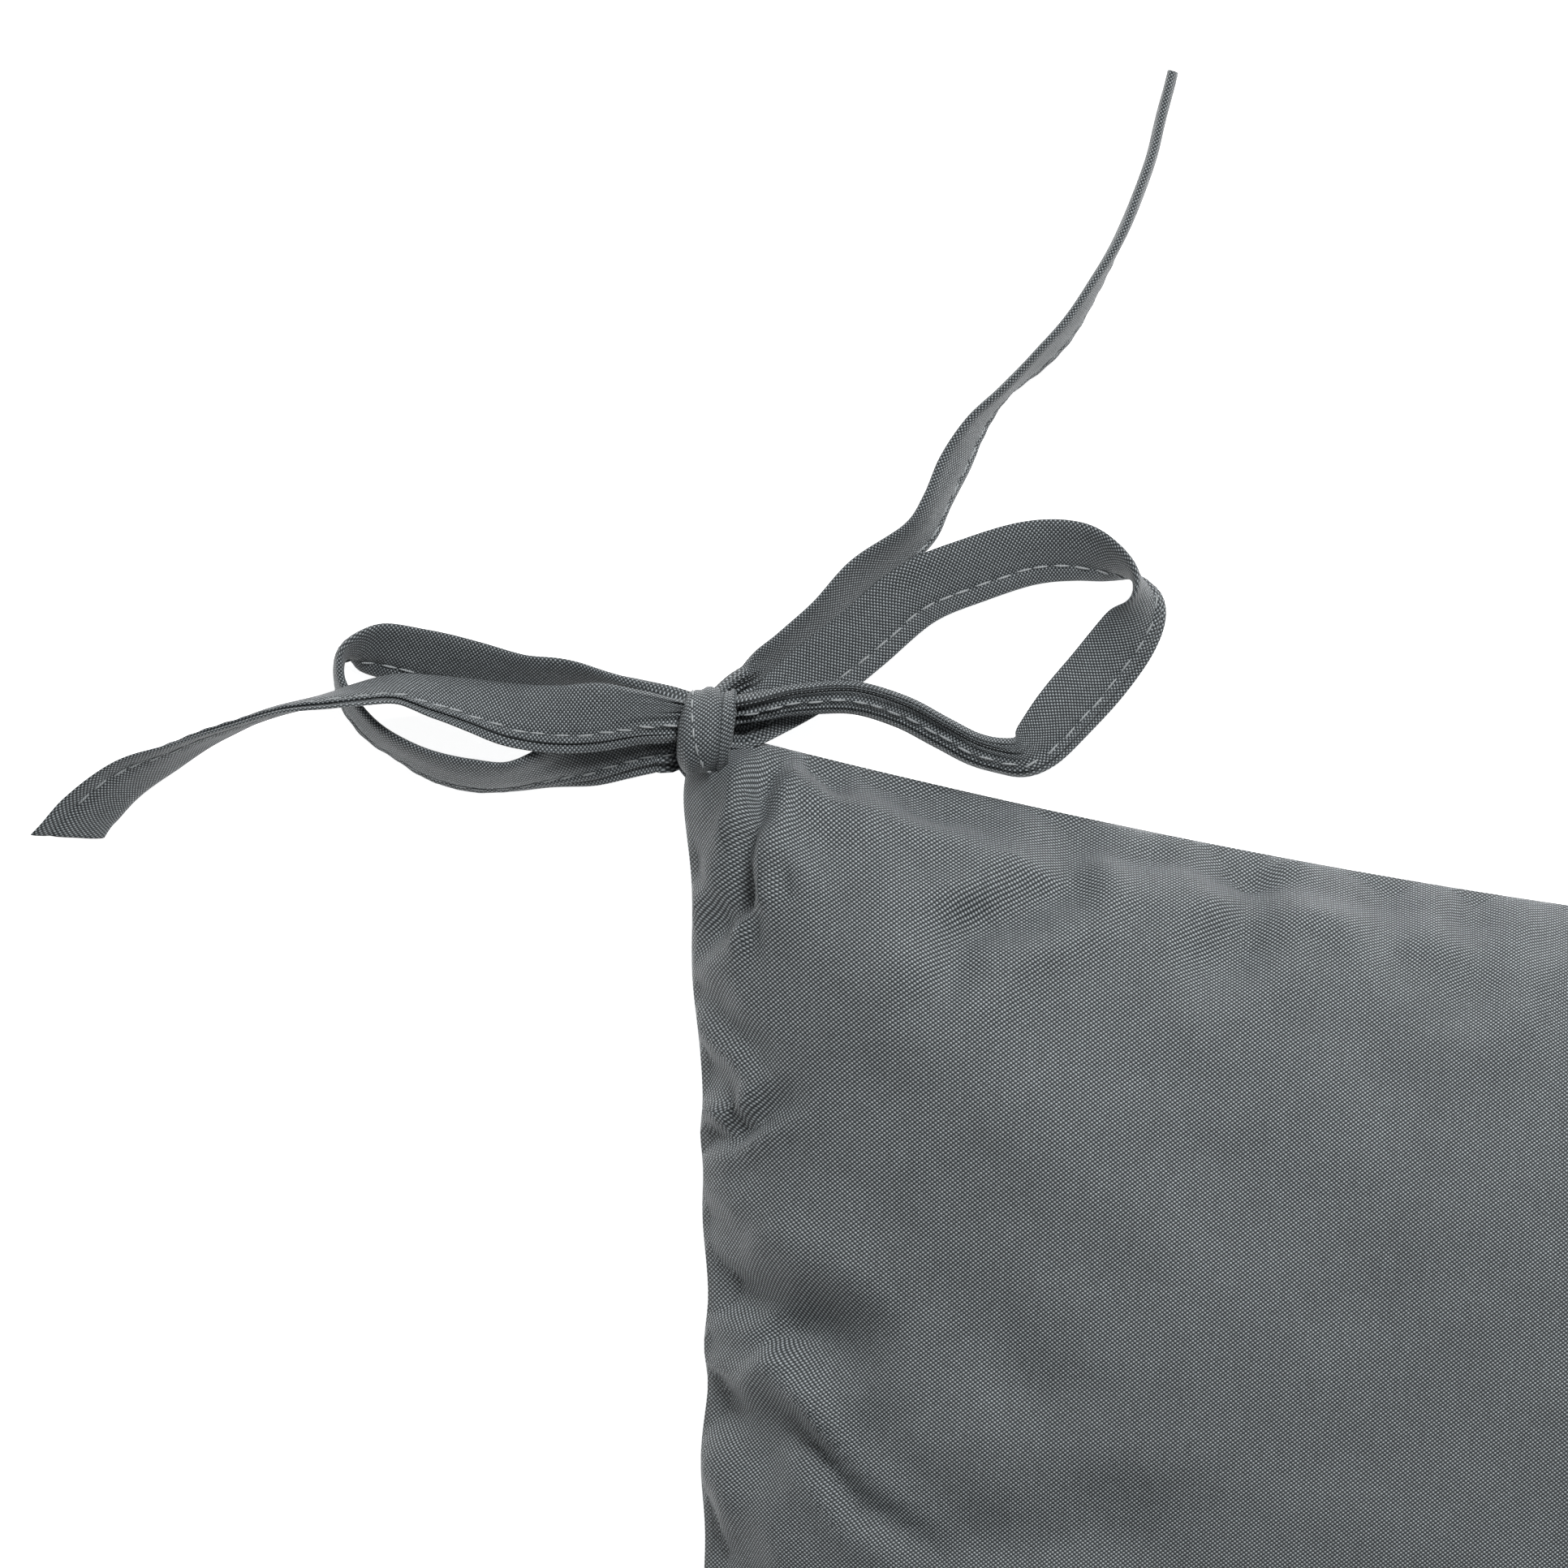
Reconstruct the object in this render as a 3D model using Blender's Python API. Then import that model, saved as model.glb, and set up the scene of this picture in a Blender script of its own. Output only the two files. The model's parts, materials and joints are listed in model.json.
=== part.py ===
# Chair seat pad: a sewn fabric cover over a wrapped foam slab, with a tied bow at each rear corner.
# Metres, +Z up. The pad lies flat on z = 0, centred on the origin, with its rear edge towards +Y.
import math

import bmesh
import bpy
from mathutils import Matrix, Vector

# Cover
PAD_WIDTH = 0.400         # left to right, between the corners before they are blunted
PAD_DEPTH = 0.400         # front to rear, the same way
PAD_THICKNESS = 0.050     # at the crown of the top
SIDE_PULL = 0.020         # how far the stuffing pulls each side in at its middle
SIDE_PULL_POWER = 1.7     # 2 is a parabola; lower keeps the side straighter near the corner
CORNER_CUT = 0.011        # length taken off each side where the corner is sewn blunt
SEAM_HEIGHT = 0.016       # of the seam at the middle of a side
CORNER_SEAM_HEIGHT = 0.005
FABRIC = 0.0005           # thickness of the cover cloth
SEAM_ALLOWANCE = 0.012    # cloth turned in behind the seam
CLEARANCE = 0.0003        # between two pieces that touch on the real pad

# Filling
FOAM_THICKNESS = 0.022
FOAM_BASE = 0.007         # height of the slab's underside
FOAM_REACH = 0.79         # share of the way from the centre to the seam
FOAM_EDGE_GAP = 0.01      # the same share, from the slab's edge to the wadding that turns down past it
WADDING_GAP = 0.0006      # from the wadding's edge to the turned-in cloth, where they are closest
WADDING_LEAST = 0.0015    # thinnest top wadding, where a shallow cover presses the slab down
WADDING_SPLIT = 0.002     # the two layers of wadding meet this far above the seam

# Ties
STRAP_WIDTH = 0.012
STRAP_THICKNESS = 0.0020
ROOT_THICKNESS = 0.0012   # the two strap ends, pressed flat in the seam
ROOT_INSIDE = 0.009
ROOT_OUTSIDE = 0.0015
KNOT_LENGTH = 0.0090      # along the bow
KNOT_WIDTH = 0.0146
KNOT_HEIGHT = 0.0100
KNOT_PROFILE = ((-1, 0.86), (-0.75, 0.97), (0, 1.0), (0.75, 0.97), (1, 0.86))  # place and swell
BOW_TURN = math.radians(5)  # the bow's line, from the pad's rear edge
CORNER_TURN = math.radians(135)  # the tie's ends leave the blunt corner square to it

# How finely the shapes are divided
SIDE_STEPS = 14
STRAP_STEP = 0.005
KNOT_SIDES = 20
SHARP_ANGLE = math.radians(40)

# Shape of the top and the underside, from the centre (0) to the seam (1)
TOP_POWER = 3.2
TOP_ROUNDING = 0.75
FLAT_REACH = 0.45         # the underside is flat this far out
BASE_POWER = 4.0
BASE_ROUNDING = 0.75
RINGS = (0.20, 0.45, 0.60, 0.70, 0.78, 0.85, 0.90, 0.94, 0.965, 0.985)
FILLING_RINGS = (0.20, 0.45, 0.60, 0.70)
TOP_CAVITY = 0.985        # the cloth is doubled from here out to the seam
BASE_CAVITY = 0.965

# Points along the straps of the left bow, in millimetres: right and rear of the pad's sharp corner,
# then height, the roll of the strap about its own line in degrees, and the share of its width
MILLIMETRE = 0.001
KNOT_POINT = (4.5, -1.5, 12.5)
SWING_POINT = (4.5, 1.5, 7.5)   # the bow folds down behind the seam about a line through here
RIGHT_LOOP = (
    (9.8, -0.8, 9.7, -10, 0.58), (12.5, 0, 9.6, -8, 0.62), (17, 4.5, 9.2, 0, 0.85), (23, 10, 8.2, 4, 1),
    (30.5, 17, 8, 8, 1), (39.5, 26, 7.8, 12, 1), (49, 31, 6.6, 16, 1), (59, 35, 5.6, 20, 1),
    (67.5, 36, 6, 32, 1), (74, 34.5, 7, 60, 1), (78, 32, 7.3, 92, 1), (79.5, 28, 6.8, 130, 1),
    (77.5, 22.5, 5.4, 158, 1), (73, 15, 4.2, 170, 1), (67, 7, 5, 158, 1), (62, 1, 6.5, 135, 1),
    (57.5, -1, 7, 122, 1), (52, -0.5, 7, 122, 1), (46, 2, 7, 124, 1), (38.5, 5, 9.5, 120, 1),
    (30, 6.5, 14.4, 115, 1), (21, 5.5, 16, 112, 0.9), (14, 3.2, 15.7, 110, 0.75), (9.8, 2.6, 15.2, 110, 0.6),
)
RIGHT_TAIL = (
    (9.5, 6.2, 7.8, 36, 0.55), (12, 7.6, 6.2, 32, 0.65), (15.5, 10, 4.6, 28, 0.9), (19.5, 13, 4.2, 24, 1),
    (25, 19, 4.6, 28, 1), (31, 27, 5, 42, 1), (39.5, 35.5, 5.7, 60, 1), (42, 42.5, 6, 62, 1),
    (44.5, 49.5, 6.2, 62, 1), (47.5, 56.5, 6.4, 70, 1), (52, 63, 6.5, 84, 1), (58, 69.5, 6.5, 76, 1),
    (63, 76.5, 6.5, 78, 1), (67.5, 86, 6.5, 86, 1), (71, 95.5, 6.5, 90, 1), (74, 106, 6.5, 90, 1),
    (75.5, 115.5, 6.5, 90, 1), (76.5, 121.5, 6.5, 90, 1),
)
LEFT_LOOP = (
    (-1.4, 3.5, 10, 112, 0.6), (-7.5, 4.5, 8.8, 110, 0.8), (-14.5, 5, 7.2, 115, 1), (-21.5, 5.5, 6.6, 125, 1),
    (-29, 5, 6, 135, 1), (-37.5, 6, 5.5, 145, 1), (-46, 7, 5.2, 150, 1), (-53.5, 8, 5.6, 143, 1),
    (-58, 7.5, 6.4, 118, 1), (-60.5, 6, 6.5, 92, 1), (-60.5, 2, 6.5, 85, 1), (-58.5, -2, 6.4, 76, 1),
    (-54, -6.5, 6.4, 72, 1), (-48.5, -9.5, 6.4, 72, 1), (-42.5, -12, 6.2, 65, 1), (-36, -13, 6.2, 62, 1),
    (-29, -12.5, 6.2, 66, 1), (-22, -10, 6.6, 50, 1), (-15.5, -7.5, 7.2, 24, 1), (-9, -5.6, 8.4, 12, 0.9),
    (-4, -4.6, 9.7, 6, 0.8), (-1, -4.3, 10, 4, 0.75),
)
LEFT_TAIL = (
    (-1, 0, 15, 175, 0.65), (-7, 0, 15, 176, 0.8), (-14, -0.5, 14, 180, 1), (-21, -1.5, 13, 186, 1),
    (-28.5, -1.5, 12.5, 200, 1), (-35.5, -0.5, 12.5, 218, 1), (-43, 0.5, 14, 232, 1), (-50, 1, 16.5, 245, 1),
    (-57, -0.5, 19.3, 255, 1), (-62.5, -2, 19.2, 262, 1), (-69.5, -4, 17, 268, 1), (-76.5, -7, 14, 273, 1),
    (-83.5, -10.5, 11, 282, 1), (-90, -14.5, 8.6, 295, 1), (-97, -19, 6.6, 310, 1),
    (-102.5, -24.5, 5, 322, 1), (-106, -29.5, 4.4, 330, 1),
)

# Materials: name, colour and roughness
COVER_CLOTH = ("polyester_cover", (0.122, 0.133, 0.137), 0.75)
STRAP_CLOTH = ("polyester_strap", (0.112, 0.122, 0.126), 0.75)
FOAM = ("polyurethane_foam", (0.72, 0.66, 0.50), 0.95)
WADDING = ("polyester_wadding", (0.80, 0.80, 0.78), 1.0)


def clear_scene():
    for old in list(bpy.data.objects):
        bpy.data.objects.remove(old)


def make_material(name, colour, roughness):
    material = bpy.data.materials.new(name)
    material.use_nodes = True
    shader = material.node_tree.nodes["Principled BSDF"]
    shader.inputs["Base Color"].default_value = (*colour, 1.0)
    shader.inputs["Roughness"].default_value = roughness
    shader.inputs["Metallic"].default_value = 0.0
    return material


def finish(name, bm, material, parent, origin):
    # The mesh is made in world coordinates, and its object's origin is put at the given point
    bmesh.ops.recalc_face_normals(bm, faces=bm.faces)
    bmesh.ops.translate(bm, verts=bm.verts, vec=-origin)
    mesh = bpy.data.meshes.new(name)
    bm.to_mesh(mesh)
    bm.free()
    mesh.shade_smooth()
    mesh.set_sharp_from_angle(angle=SHARP_ANGLE)
    mesh.materials.append(material)
    piece = bpy.data.objects.new(name, mesh)
    bpy.context.collection.objects.link(piece)
    piece.location = origin
    if parent is not None:
        piece.parent = parent
        piece.matrix_parent_inverse = Matrix.Translation(-parent.location)
    return piece


def add_ring(bm, points):
    return [bm.verts.new(point) for point in points]


def join_rings(bm, rings):
    for ring, following in zip(rings, rings[1:]):
        for i in range(len(ring)):
            after = (i + 1) % len(ring)
            bm.faces.new((ring[i], ring[after], following[after], following[i]))


def close_with_point(bm, ring, point):
    tip = bm.verts.new(point)
    for i in range(len(ring)):
        bm.faces.new((ring[i], ring[(i + 1) % len(ring)], tip))


# ---- the outline of the seam ----

def side_points(half_along, half_across):
    # One side, seen with its outside towards -Y and running along +X
    points = []
    for step in range(SIDE_STEPS + 1):
        progress = 2 * step / SIDE_STEPS - 1
        share = progress * (1 - CORNER_CUT / half_along)
        pull = SIDE_PULL * (1 - abs(share) ** SIDE_PULL_POWER)
        height = CORNER_SEAM_HEIGHT + (SEAM_HEIGHT - CORNER_SEAM_HEIGHT) * (1 - progress ** 2)
        points.append((Vector((share * half_along, pull - half_across)), height))
    return points


def seam_outline():
    # Stations around the seam: its place, its height, and half the opening between the two panels
    stations = []
    for side in range(4):
        halves = (PAD_WIDTH / 2, PAD_DEPTH / 2) if side % 2 == 0 else (PAD_DEPTH / 2, PAD_WIDTH / 2)
        turn = Matrix.Rotation(side * math.pi / 2, 2)
        for step, (place, height) in enumerate(side_points(*halves)):
            at_rear_corner = (side, step) in ((1, SIDE_STEPS), (2, 0), (2, SIDE_STEPS), (3, 0))
            opening = ROOT_THICKNESS / 2 + CLEARANCE if at_rear_corner else CLEARANCE / 2
            stations.append((turn @ place, height, opening))
    return stations


def top_height(reach, station):
    _, seam, opening = station
    edge = seam + opening
    return edge + (PAD_THICKNESS - edge) * (1 - reach ** TOP_POWER) ** TOP_ROUNDING


def base_height(reach, station):
    _, seam, opening = station
    out = max(0.0, (reach - FLAT_REACH) / (1 - FLAT_REACH))
    return (seam - opening) * (1 - (1 - out ** BASE_POWER) ** BASE_ROUNDING)


def ring_at(stations, reach, height):
    # reach and height are numbers, or functions of the station
    points = []
    for station in stations:
        share = reach(station) if callable(reach) else reach
        level = height(share, station) if callable(height) else height
        points.append((*(station[0] * share), level))
    return points


def allowance_end(station):
    return 1 - SEAM_ALLOWANCE / station[0].length


# ---- the cover ----

def make_panel(name, stations, surface, inwards, cavity, material):
    # A shell of cloth from the centre out to the seam, then turned in along it.
    # inwards is -1 for the top panel, whose inside is below it, and +1 for the bottom panel.
    bm = bmesh.new()

    def inside(share, station):
        return surface(share, station) + inwards * FABRIC

    def allowance_outer(share, station):
        return station[1] - inwards * station[2]

    def allowance_inner(share, station):
        return station[1] - inwards * (station[2] + FABRIC)

    outer = [add_ring(bm, ring_at(stations, reach, surface)) for reach in RINGS]
    rim = add_ring(bm, ring_at(stations, 1.0, surface))
    lip_end = add_ring(bm, ring_at(stations, allowance_end, allowance_outer))
    lip_back = add_ring(bm, ring_at(stations, allowance_end, allowance_inner))
    fold = add_ring(bm, ring_at(stations, cavity, allowance_inner))
    inner_rings = [reach for reach in reversed(RINGS) if reach <= cavity]
    inner = [add_ring(bm, ring_at(stations, reach, inside)) for reach in inner_rings]
    join_rings(bm, outer + [rim, lip_end, lip_back, fold] + inner)
    centre = surface(0.0, stations[0])
    close_with_point(bm, outer[0], (0, 0, centre))
    close_with_point(bm, inner[-1], (0, 0, centre + inwards * FABRIC))
    return finish(name, bm, material, None, Vector((0, 0, 0)))


# ---- the filling ----

def make_layer(name, stations, upper, lower, reaches, material):
    # A closed body between two surfaces, out to the last of reaches
    bm = bmesh.new()
    above = [add_ring(bm, ring_at(stations, reach, upper)) for reach in reaches]
    below = [add_ring(bm, ring_at(stations, reach, lower)) for reach in reaches]
    join_rings(bm, above)
    join_rings(bm, below)
    join_rings(bm, [above[-1], below[-1]])
    close_with_point(bm, above[0], (0, 0, upper(0.0, stations[0])))
    close_with_point(bm, below[0], (0, 0, lower(0.0, stations[0])))
    return finish(name, bm, material, None, Vector((0, 0, 0)))


def slab_top(share, station):
    # Level, but pressed down in the corners where a shallow cover leaves it no room
    room = top_height(share, station) - FABRIC - WADDING_LEAST - 2 * CLEARANCE
    return min(FOAM_BASE + FOAM_THICKNESS, room)


def make_filling(stations):
    turn_down = FOAM_REACH + FOAM_EDGE_GAP
    turned = turn_down + FOAM_EDGE_GAP
    nearest = min(place.length for place, _, _ in stations)
    wadding_reach = 1 - (SEAM_ALLOWANCE + WADDING_GAP) / nearest
    past_slab = (turned, (turned + wadding_reach) / 2, wadding_reach)
    foam_rings = (*FILLING_RINGS, FOAM_REACH)
    wadding_rings = (*foam_rings, turn_down, *past_slab)

    def split(station):
        return station[1] + WADDING_SPLIT

    def top_upper(share, station):
        return top_height(share, station) - FABRIC - CLEARANCE

    def top_lower(share, station):
        lower = slab_top(share, station) if share < turned else split(station)
        return lower + CLEARANCE

    def base_upper(share, station):
        return FOAM_BASE - CLEARANCE if share < turned else split(station)

    def base_lower(share, station):
        return base_height(share, station) + FABRIC + CLEARANCE

    def slab_base(share, station):
        return FOAM_BASE

    foam = make_material(*FOAM)
    wadding = make_material(*WADDING)
    make_layer("foam_core", stations, slab_top, slab_base, foam_rings, foam)
    make_layer("top_wadding", stations, top_upper, top_lower, wadding_rings, wadding)
    make_layer("bottom_wadding", stations, base_upper, base_lower, wadding_rings, wadding)


# ---- the ties ----

def smooth_route(points):
    # Catmull-Rom through the route's own points, with a station about every STRAP_STEP
    points = [Vector((x * MILLIMETRE, y * MILLIMETRE, z * MILLIMETRE, math.radians(roll), share))
              for x, y, z, roll, share in points]
    padded = [2 * points[0] - points[1]] + points + [2 * points[-1] - points[-2]]
    route = []
    for before, start, end, after in zip(padded, padded[1:], padded[2:], padded[3:]):
        span = (end - start).to_3d().length
        steps = max(1, round(span / STRAP_STEP))
        for step in range(steps):
            t = step / steps
            bend = (end - before) * t + (2 * before - 5 * start + 4 * end - after) * t ** 2
            bend = bend + (3 * start - before - 3 * end + after) * t ** 3
            route.append(start + bend / 2)
    route.append(points[-1])
    return route


def strap_sections(route):
    sections = []
    for i, station in enumerate(route):
        ahead = route[min(i + 1, len(route) - 1)].to_3d()
        behind = route[max(i - 1, 0)].to_3d()
        along = (ahead - behind).normalized()
        left = Vector((0, 0, 1)).cross(along).normalized()
        up = along.cross(left)
        roll = station[3]
        across = left * math.cos(roll) + up * math.sin(roll)
        through = along.cross(across)
        wide = across * STRAP_WIDTH / 2 * station[4]
        deep = through * STRAP_THICKNESS / 2
        middle = station.to_3d()
        sections.append([middle + wide + deep, middle - wide + deep,
                         middle - wide - deep, middle + wide - deep])
    return sections


def place_in_world(bm, corner, side):
    # side is +1 for the left bow, -1 for its mirror image on the right
    bmesh.ops.scale(bm, verts=bm.verts, vec=(side, 1, 1))
    bmesh.ops.translate(bm, verts=bm.verts, vec=corner)


def make_strap(name, points, corner, side, material, parent):
    bm = bmesh.new()
    rings = [add_ring(bm, section) for section in strap_sections(smooth_route(points))]
    join_rings(bm, rings)
    bm.faces.new(rings[0])
    bm.faces.new(rings[-1])
    place_in_world(bm, corner, side)
    return finish(name, bm, material, parent, parent.location)


def make_knot(name, corner, side, material, parent):
    # A barrel of cloth across the bow, flatter than it is wide
    bm = bmesh.new()
    rings = []
    for place, swell in KNOT_PROFILE:
        ring = []
        for i in range(KNOT_SIDES):
            angle = 2 * math.pi * i / KNOT_SIDES
            ring.append((place * KNOT_LENGTH / 2, KNOT_WIDTH / 2 * swell * math.cos(angle),
                         KNOT_HEIGHT / 2 * swell * math.sin(angle)))
        rings.append(add_ring(bm, ring))
    join_rings(bm, rings)
    bm.faces.new(rings[0])
    bm.faces.new(rings[-1])
    bmesh.ops.rotate(bm, verts=bm.verts, cent=(0, 0, 0), matrix=Matrix.Rotation(BOW_TURN, 3, "Z"))
    bmesh.ops.translate(bm, verts=bm.verts, vec=Vector(KNOT_POINT) * MILLIMETRE)
    place_in_world(bm, corner, side)
    return finish(name, bm, material, parent, parent.location)


def make_root(name, corner, side, material):
    # The two strap ends sewn flat between the panels, across the blunt corner
    bm = bmesh.new()
    bmesh.ops.create_cube(bm, size=1.0)
    length = ROOT_INSIDE + ROOT_OUTSIDE
    bmesh.ops.scale(bm, verts=bm.verts, vec=(length, STRAP_WIDTH, ROOT_THICKNESS))
    bmesh.ops.translate(bm, verts=bm.verts, vec=(ROOT_OUTSIDE - length / 2, 0, CORNER_SEAM_HEIGHT))
    bmesh.ops.rotate(bm, verts=bm.verts, cent=(0, 0, 0), matrix=Matrix.Rotation(CORNER_TURN, 3, "Z"))
    blunt_middle = Vector((CORNER_CUT / 2, -CORNER_CUT / 2, 0))
    bmesh.ops.translate(bm, verts=bm.verts, vec=blunt_middle)
    place_in_world(bm, corner, side)
    return finish(name, bm, material, None, Vector((0, 0, 0)))


def make_bow(label, side, material):
    corner = Vector((-side * PAD_WIDTH / 2, PAD_DEPTH / 2, 0))
    swing = Vector(SWING_POINT) * MILLIMETRE
    pivot = bpy.data.objects.new(label + "_tie_pivot", None)
    bpy.context.collection.objects.link(pivot)
    pivot.location = corner + Vector((side * swing.x, swing.y, swing.z))
    make_root(label + "_tie_root", corner, side, material)
    make_knot(label + "_knot", corner, side, material, pivot)
    inner, outer = ("right", "left") if side > 0 else ("left", "right")
    make_strap(label + "_" + inner + "_loop", RIGHT_LOOP, corner, side, material, pivot)
    make_strap(label + "_" + inner + "_tail", RIGHT_TAIL, corner, side, material, pivot)
    make_strap(label + "_" + outer + "_loop", LEFT_LOOP, corner, side, material, pivot)
    make_strap(label + "_" + outer + "_tail", LEFT_TAIL, corner, side, material, pivot)


def main():
    clear_scene()
    stations = seam_outline()
    cover = make_material(*COVER_CLOTH)
    strap = make_material(*STRAP_CLOTH)
    make_panel("top_panel", stations, top_height, -1, TOP_CAVITY, cover)
    make_panel("bottom_panel", stations, base_height, 1, BASE_CAVITY, cover)
    make_filling(stations)
    make_bow("rear_left", 1, strap)
    make_bow("rear_right", -1, strap)


main()
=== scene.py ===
import json
import math
import random

import bmesh
import bpy
import numpy as np
from mathutils import Matrix, Vector, noise
from mathutils.bvhtree import BVHTree
from mathutils.kdtree import KDTree


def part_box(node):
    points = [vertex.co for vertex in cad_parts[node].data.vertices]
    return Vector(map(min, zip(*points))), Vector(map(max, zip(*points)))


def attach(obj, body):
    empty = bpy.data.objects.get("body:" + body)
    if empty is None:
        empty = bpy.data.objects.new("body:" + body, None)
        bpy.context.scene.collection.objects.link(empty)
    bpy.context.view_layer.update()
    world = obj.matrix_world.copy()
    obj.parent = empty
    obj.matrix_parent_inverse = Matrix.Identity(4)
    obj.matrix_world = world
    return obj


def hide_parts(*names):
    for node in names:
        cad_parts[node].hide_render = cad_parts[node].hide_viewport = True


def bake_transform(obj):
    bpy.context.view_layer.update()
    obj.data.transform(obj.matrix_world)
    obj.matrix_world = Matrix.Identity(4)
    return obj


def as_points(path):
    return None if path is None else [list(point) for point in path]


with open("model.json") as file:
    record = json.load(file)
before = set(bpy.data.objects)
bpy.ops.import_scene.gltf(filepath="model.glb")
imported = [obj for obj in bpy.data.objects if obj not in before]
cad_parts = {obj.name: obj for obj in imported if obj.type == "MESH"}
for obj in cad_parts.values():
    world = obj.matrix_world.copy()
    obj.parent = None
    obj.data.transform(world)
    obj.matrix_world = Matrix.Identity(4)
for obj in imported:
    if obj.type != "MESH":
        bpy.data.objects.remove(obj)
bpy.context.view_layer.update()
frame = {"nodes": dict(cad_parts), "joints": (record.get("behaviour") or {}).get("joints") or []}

mm = 0.001
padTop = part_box("top_panel")[1]

# Straight down on the pad's rear left corner, in metres
cameraSettings = {
    "aim": Vector((-0.1808, 0.1906, 0.010)),
    "view": 0.276,              # width of what it sees, at the height of the aim
    "lens": 300.0,
    "sensor": 36.0,
    "clipEnd": 20.0,
    "turn": math.radians(5),    # the pad lies turned by this on the table
}

# Powers in watts, places and sizes in metres
lightSettings = {
    "keyPower": 9.6, "keyPlace": (0.02, 0.66, 0.84), "keySize": 0.3,
    "fillPower": 1.5, "fillPlace": (-1.2, -0.6, 1.3), "fillSize": 1.4,
    "world": 0.11,
}


def addCamera():
    s = cameraSettings
    data = bpy.data.cameras.new("overheadCamera")
    data.lens = s["lens"]
    data.sensor_width = s["sensor"]
    data.clip_end = s["clipEnd"]
    camera = bpy.data.objects.new("overheadCamera", data)
    bpy.context.scene.collection.objects.link(camera)
    camera.location = s["aim"] + Vector((0, 0, s["view"] * s["lens"] / s["sensor"]))
    camera.rotation_euler = (0, 0, s["turn"])
    bpy.context.scene.camera = camera


def addAreaLight(name, power, place, size):
    data = bpy.data.lights.new(name, "AREA")
    data.energy = power
    data.size = size
    light = bpy.data.objects.new(name, data)
    bpy.context.scene.collection.objects.link(light)
    light.location = place
    light.rotation_euler = (-Vector(place)).to_track_quat("-Z", "Y").to_euler()


def addLights():
    s = lightSettings
    addAreaLight("keySoftbox", s["keyPower"], s["keyPlace"], s["keySize"])
    addAreaLight("fillSoftbox", s["fillPower"], s["fillPlace"], s["fillSize"])
    world = bpy.data.worlds.new("studioAir")
    world.use_nodes = True
    world.node_tree.nodes["Background"].inputs["Color"].default_value = (1, 1, 1, 1)
    world.node_tree.nodes["Background"].inputs["Strength"].default_value = s["world"]
    bpy.context.scene.world = world
    bpy.context.scene.view_settings.view_transform = "Standard"


def hexColour(text):
    # An sRGB hex value, as linear light
    values = [int(text[i:i + 2], 16) / 255 for i in (0, 2, 4)]
    return [v / 12.92 if v <= 0.04045 else ((v + 0.055) / 1.055) ** 2.4 for v in values] + [1.0]


def addNode(tree, kind, inputs=None, **settings):
    node = tree.nodes.new(kind)
    for name, value in settings.items():
        setattr(node, name, value)
    for key, value in (inputs or {}).items():
        if isinstance(value, bpy.types.NodeSocket):
            tree.links.new(value, node.inputs[key])
        else:
            node.inputs[key].default_value = value
    return node


def startMaterial(name, roughness, specular, sheen):
    material = bpy.data.materials.new(name)
    material.use_nodes = True
    tree = material.node_tree
    shader = tree.nodes["Principled BSDF"]
    shader.inputs["Roughness"].default_value = roughness
    shader.inputs["Specular IOR Level"].default_value = specular
    shader.inputs["Sheen Weight"].default_value = sheen
    shader.inputs["Sheen Roughness"].default_value = 0.4
    return material, tree, shader


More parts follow.
